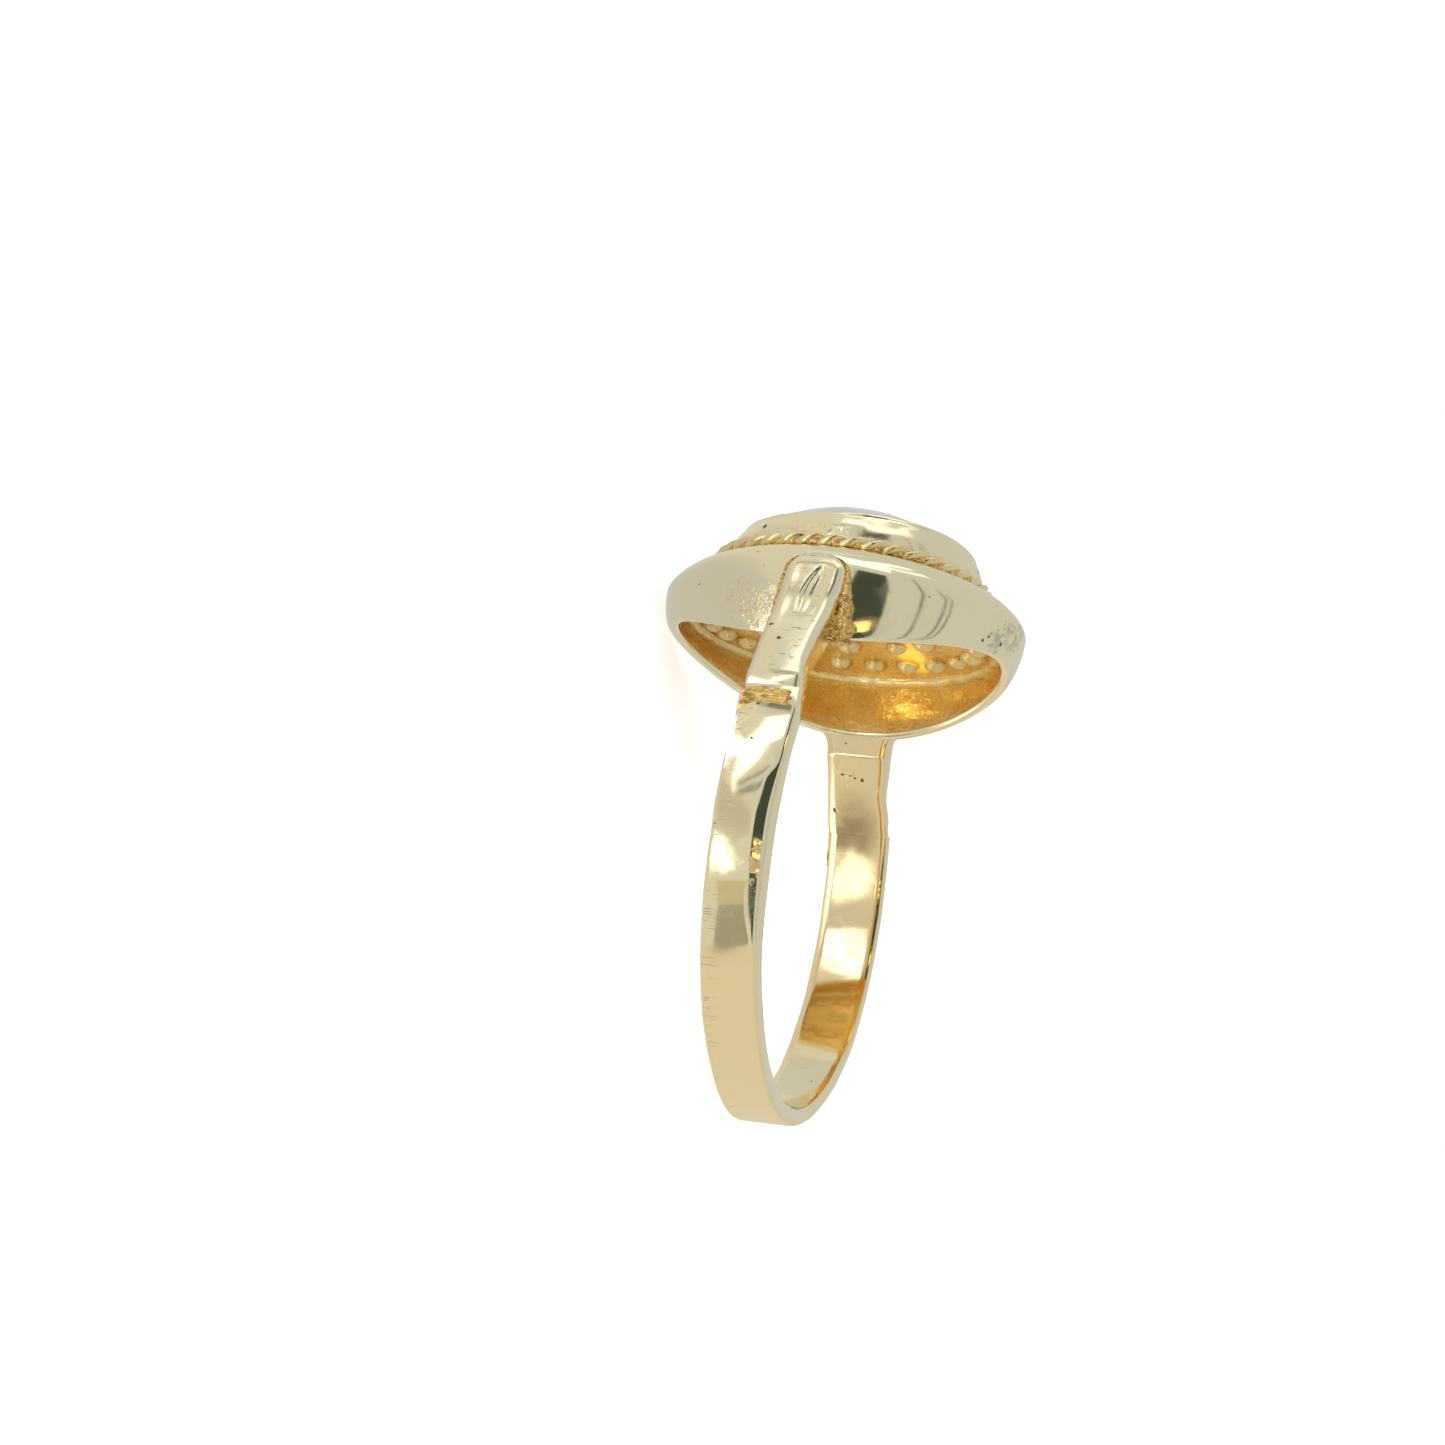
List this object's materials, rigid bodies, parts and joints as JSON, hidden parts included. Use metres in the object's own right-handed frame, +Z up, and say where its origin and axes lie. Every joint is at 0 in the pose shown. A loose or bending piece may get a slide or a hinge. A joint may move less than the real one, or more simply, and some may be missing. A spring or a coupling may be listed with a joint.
{
  "type": "opal ring",
  "caption": "Gold ring lying on its side: thin round band, flaring oval skirt hollow below, twisted rope wire, smooth bezel and a domed oval opal.",
  "frame": {"origin": "on the surface that the ring lies on, under the middle of its bounding box", "axes": "+Z up; +X from the band towards the head; the finger's axis leans back from +Z towards -X by the angle at which the ring rests on its band's edge and its skirt's end"},
  "size_m": [0.0242, 0.0192, 0.0139],
  "materials": {
    "gold": "polished yellow gold, pale outside and deep orange in the hollow, with cast pits and solder seams",
    "opal": "polished translucent pale blue stone with soft flecks of colour"
  },
  "bodies": {
    "root": {"ring_mount": "gold", "opal": "opal"}
  },
  "joints": []
}
